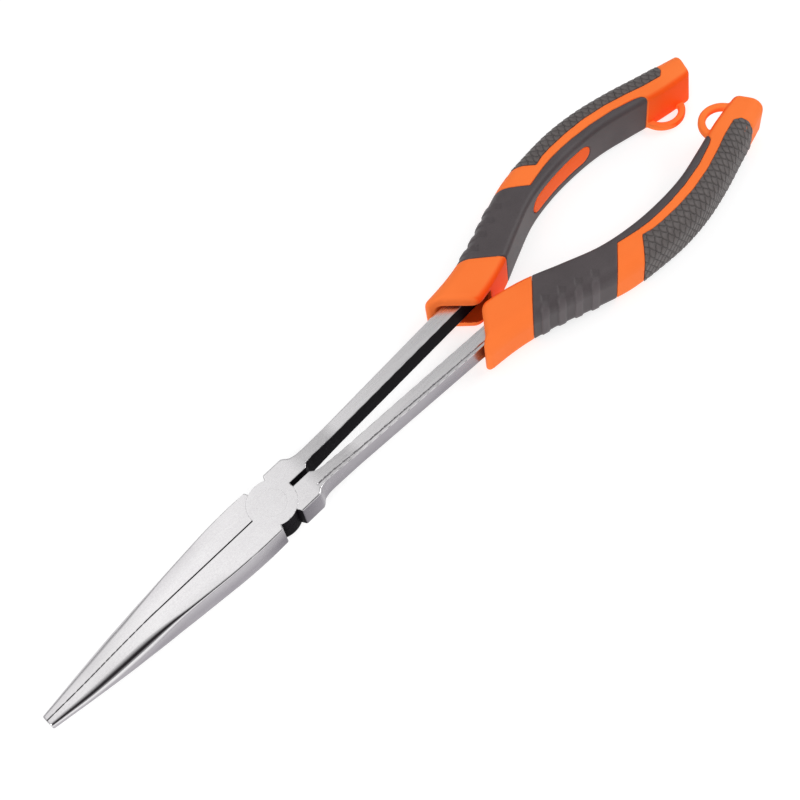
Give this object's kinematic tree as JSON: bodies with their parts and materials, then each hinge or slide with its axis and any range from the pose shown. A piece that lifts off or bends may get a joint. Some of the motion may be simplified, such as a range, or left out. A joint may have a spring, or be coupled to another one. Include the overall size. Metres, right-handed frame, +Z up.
{
  "type": "fishing pliers",
  "caption": "Long-reach long-nose fishing pliers with slim arms, a flush lap joint, two-colour moulded grips and a lanyard ring on each handle end.",
  "frame": {"origin": "on the pivot axis, at the flat underside of the lap joint", "axes": "+X from the pivot towards the handle ends, +Y towards the left handle, +Z up along the pivot axis"},
  "size_m": [0.2826, 0.0576, 0.0156],
  "materials": {
    "ground_steel": "fine ground and polished faces, black oxide left on the inner faces",
    "rivet_steel": "ground flush with the joint",
    "orange_core": "satin moulded plastic",
    "soft_grey": "matt soft overmould with raised ribs",
    "palm_grey": "matt soft overmould with a scale texture",
    "orange_inlay": "satin moulded plastic"
  },
  "bodies": {
    "left_half": {"left_lever": "ground_steel", "pivot_rivet": "rivet_steel", "left_grip_core": "orange_core", "left_soft_grip": "soft_grey", "left_palm_pad": "palm_grey", "left_finger_inlay": "orange_inlay"},
    "right_half": {"right_lever": "ground_steel", "right_grip_core": "orange_core", "right_soft_grip": "soft_grey", "right_palm_pad": "palm_grey", "right_finger_inlay": "orange_inlay"}
  },
  "joints": [
    {"name": "pivot", "type": "hinge", "parent": "left_half", "child": "right_half", "pos_m": [0, 0, 0.0044], "axis": [0, 0, -1], "range_deg": [0, 45]}
  ]
}
